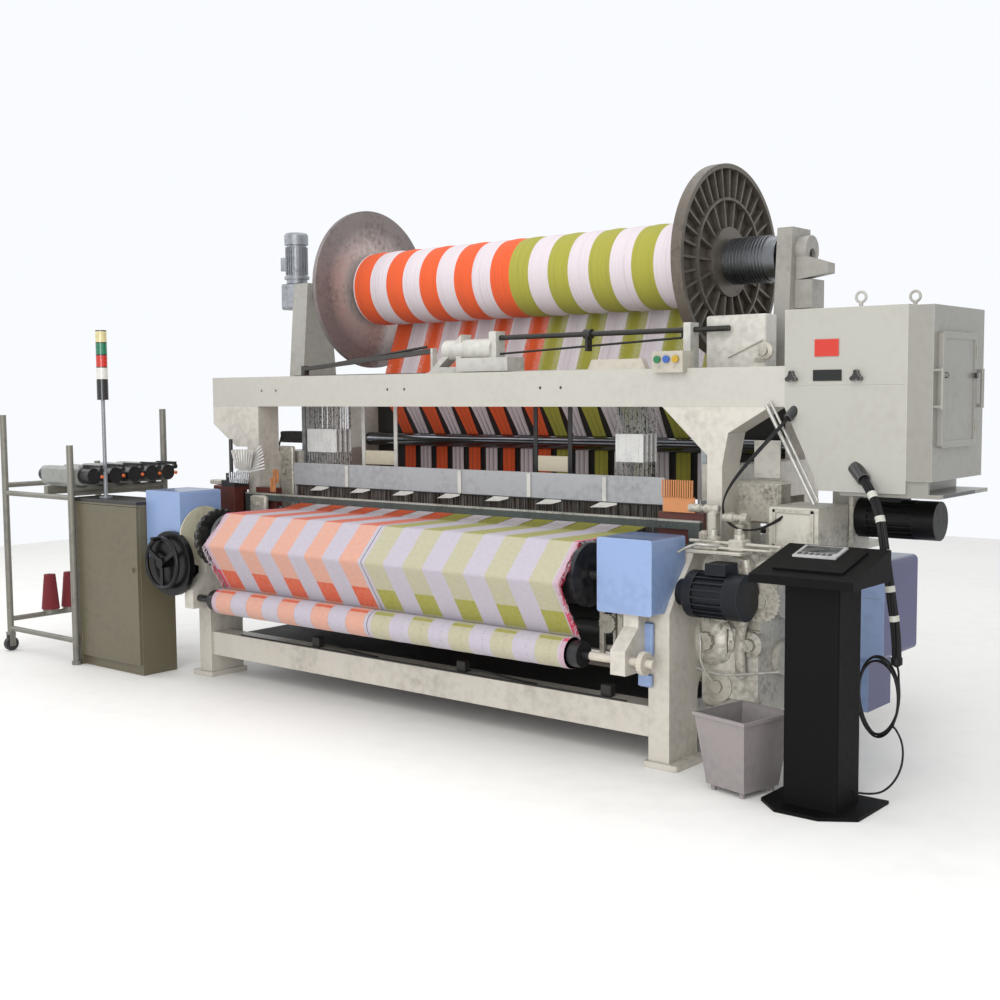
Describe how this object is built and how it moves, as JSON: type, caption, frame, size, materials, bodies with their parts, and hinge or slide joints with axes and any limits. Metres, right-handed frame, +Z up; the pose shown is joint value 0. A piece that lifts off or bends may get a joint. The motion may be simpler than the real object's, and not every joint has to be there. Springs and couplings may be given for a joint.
{
  "type": "terry rapier loom",
  "caption": "Wide weaving loom with an overhead banded warp beam, healds, reed, cloth roll, side dobby, weft rack, cabinet, console and waste bin",
  "frame": {"origin": "on the floor, at the centre of the floor bolt pattern of the side frames", "axes": "X along the cloth width to the dobby side, Y from the cloth side to the warp side, Z up"},
  "size_m": [6.052, 2.555, 2.85],
  "materials": {
    "frame_paint": "satin warm grey enamel",
    "girder_paint": "satin warm grey enamel",
    "cast_flange": "machined grey cast iron with ribs",
    "beam_steel": "turned steel",
    "roller_chrome": "polished chrome",
    "dark_steel": "dark oiled steel",
    "bright_steel": "bright machined steel",
    "motor_alloy": "cast aluminium",
    "motor_black": "black enamel",
    "blue_paint": "light blue enamel",
    "gear_paint": "grey enamel on a casting",
    "grey_plastic": "moulded grey plastic",
    "black_plastic": "moulded black plastic",
    "green_cap": "glossy green",
    "blue_cap": "glossy blue",
    "yellow_cap": "glossy yellow",
    "yarn_pile": "banded cotton yarn, orange, white and green",
    "yarn_ground": "natural cotton yarn",
    "terry_cloth": "terry cloth in banded colours",
    "yarn_cone": "dark red yarn",
    "reed_cap": "light bluish grey anodised baulk",
    "green_grey": "grey-green enamel",
    "guide_red": "red-brown enamel",
    "cabinet_paint": "olive-taupe enamel",
    "lamp_lens": "coloured lamp lenses",
    "bin_plastic": "grey-lavender plastic",
    "tube_steel": "zinc-plated tube",
    "caster_rubber": "black rubber tread",
    "cable_jacket": "black cable sheath",
    "hose_jacket": "black rubber hose",
    "blade_plastic": "white blades"
  },
  "bodies": {
    "loom_frame": {"left_side_frame": "frame_paint", "right_side_frame": "frame_paint", "cross_beams": "frame_paint", "arch_girder": "girder_paint", "left_arch_bracket": "girder_paint", "right_arch_bracket": "girder_paint", "beam_columns": "girder_paint", "letoff_gearbox": "motor_alloy", "letoff_motor": "motor_alloy", "breast_beam": "green_grey", "rapier_guides": "guide_red", "warp_bars": "bright_steel", "cloth_web": "terry_cloth", "warp_sheets": "yarn_pile", "dobby_housing": "frame_paint", "dobby_side_box": "frame_paint", "button_box": "grey_plastic", "drive_motors": "motor_black", "drive_gearbox": "gear_paint", "drive_covers": "blue_paint", "takeup_cover": "blue_paint", "console_stand": "black_plastic", "console_panel": "black_plastic", "cabinet_body": "cabinet_paint", "weft_rack": "tube_steel", "weft_cones": "yarn_cone", "weft_feeders": "grey_plastic", "signal_lamp": "lamp_lens", "weft_selector": "black_plastic", "belt_guard": "black_plastic", "control_motor": "grey_plastic", "cable_bundle": "cable_jacket", "cable_coil": "cable_jacket", "console_lead": "cable_jacket", "oil_hose": "hose_jacket", "waste_bin": "bin_plastic"},
    "pile_warp_beam": {"pile_beam": "beam_steel", "pile_flanges": "cast_flange", "pile_yarn_roll": "yarn_pile"},
    "ground_warp_beam": {"ground_beam": "dark_steel", "ground_yarn_roll": "yarn_ground"},
    "cloth_winder": {"cloth_roll": "terry_cloth"},
    "takeup": {"takeup_roller": "dark_steel"},
    "measuring_roller": {"chrome_roller": "roller_chrome"},
    "hand_wheel": {"handwheel": "bright_steel"},
    "sley_body": {"sley": "dark_steel", "reed": "reed_cap"},
    "healds_odd": {"heald_frames_odd": "motor_alloy"},
    "healds_even": {"heald_frames_even": "motor_alloy"},
    "left_rapier": {"rapier_left": "bright_steel"},
    "right_rapier": {"rapier_right": "bright_steel"},
    "rocking_shaft": {"control_shaft": "bright_steel"},
    "finger_bank": {"selector_fingers": "blade_plastic"},
    "dobby_lid": {"dobby_door": "frame_paint"},
    "cabinet_lid": {"cabinet_door": "cabinet_paint"},
    "caster_swivel": {"caster_fork": "tube_steel"},
    "caster_roller": {"caster_wheel": "caster_rubber"},
    "green_push": {"green_button": "green_cap"},
    "blue_push": {"blue_button": "blue_cap"},
    "yellow_push": {"yellow_button": "yellow_cap"}
  },
  "joints": [
    {"name": "pile_beam_turn", "type": "hinge", "parent": "loom_frame", "child": "pile_warp_beam", "pos_m": [0, 0.2, 2.35], "axis": [1, 0, 0], "continuous": true},
    {"name": "ground_beam_turn", "type": "hinge", "parent": "loom_frame", "child": "ground_warp_beam", "pos_m": [0, 0.86, 0.56], "axis": [1, 0, 0], "continuous": true},
    {"name": "cloth_roll_turn", "type": "hinge", "parent": "loom_frame", "child": "cloth_winder", "pos_m": [0, -1.14, 0.5], "axis": [1, 0, 0], "continuous": true},
    {"name": "takeup_roller_turn", "type": "hinge", "parent": "loom_frame", "child": "takeup", "pos_m": [0, -1.03962, 0.85003], "axis": [1, 0, 0], "continuous": true},
    {"name": "chrome_roller_turn", "type": "hinge", "parent": "loom_frame", "child": "measuring_roller", "pos_m": [0, 0.35, 1.385], "axis": [1, 0, 0], "continuous": true},
    {"name": "handwheel_turn", "type": "hinge", "parent": "loom_frame", "child": "hand_wheel", "pos_m": [-1.645, -1.27, 0.705], "axis": [0, 1, 0], "continuous": true},
    {"name": "sley_rock", "type": "hinge", "parent": "loom_frame", "child": "sley_body", "pos_m": [0, -0.48, 0.49], "axis": [1, 0, 0], "range_deg": [0, 6]},
    {"name": "healds_odd_lift", "type": "slide", "parent": "loom_frame", "child": "healds_odd", "axis": [0, 0, 1], "range_m": [-0.04, 0.04]},
    {"name": "healds_even_lift", "type": "slide", "parent": "loom_frame", "child": "healds_even", "axis": [0, 0, 1], "range_m": [-0.04, 0.04]},
    {"name": "left_rapier_run", "type": "slide", "parent": "loom_frame", "child": "left_rapier", "axis": [1, 0, 0], "range_m": [0, 1.33]},
    {"name": "right_rapier_run", "type": "slide", "parent": "loom_frame", "child": "right_rapier", "axis": [-1, 0, 0], "range_m": [0, 1.33]},
    {"name": "control_shaft_rock", "type": "hinge", "parent": "loom_frame", "child": "rocking_shaft", "pos_m": [0, -0.25, 1.985], "axis": [1, 0, 0], "range_deg": [-12, 12]},
    {"name": "selector_finger_dip", "type": "hinge", "parent": "loom_frame", "child": "finger_bank", "pos_m": [-1.657, -0.735, 1.186], "axis": [0, 1, 0], "range_deg": [-8, 8]},
    {"name": "dobby_door_swing", "type": "hinge", "parent": "loom_frame", "child": "dobby_lid", "pos_m": [2.692, -0.16, 1.68], "axis": [0, 0, 1], "range_deg": [0, 100]},
    {"name": "cabinet_door_swing", "type": "hinge", "parent": "loom_frame", "child": "cabinet_lid", "pos_m": [-2.49, -1.27, 0.515], "axis": [0, 0, -1], "range_deg": [0, 85]},
    {"name": "caster_swivel_turn", "type": "hinge", "parent": "loom_frame", "child": "caster_swivel", "pos_m": [-3.28, -1.3, 0.12], "axis": [0, 0, 1], "continuous": true},
    {"name": "caster_wheel_spin", "type": "hinge", "parent": "caster_swivel", "child": "caster_roller", "pos_m": [-3.28, -1.3, 0.045], "axis": [1, 0, 0], "continuous": true},
    {"name": "green_button_press", "type": "slide", "parent": "loom_frame", "child": "green_push", "axis": [0, 1, 0], "range_m": [0, 0.005], "stiffness_N_per_m": 400},
    {"name": "blue_button_press", "type": "slide", "parent": "loom_frame", "child": "blue_push", "axis": [0, 1, 0], "range_m": [0, 0.005], "stiffness_N_per_m": 400},
    {"name": "yellow_button_press", "type": "slide", "parent": "loom_frame", "child": "yellow_push", "axis": [0, 1, 0], "range_m": [0, 0.005], "stiffness_N_per_m": 400}
  ],
  "couplings": [
    {"joint": "healds_even_lift", "follows": "healds_odd_lift", "ratio": -1},
    {"joint": "right_rapier_run", "follows": "left_rapier_run", "ratio": 1}
  ]
}
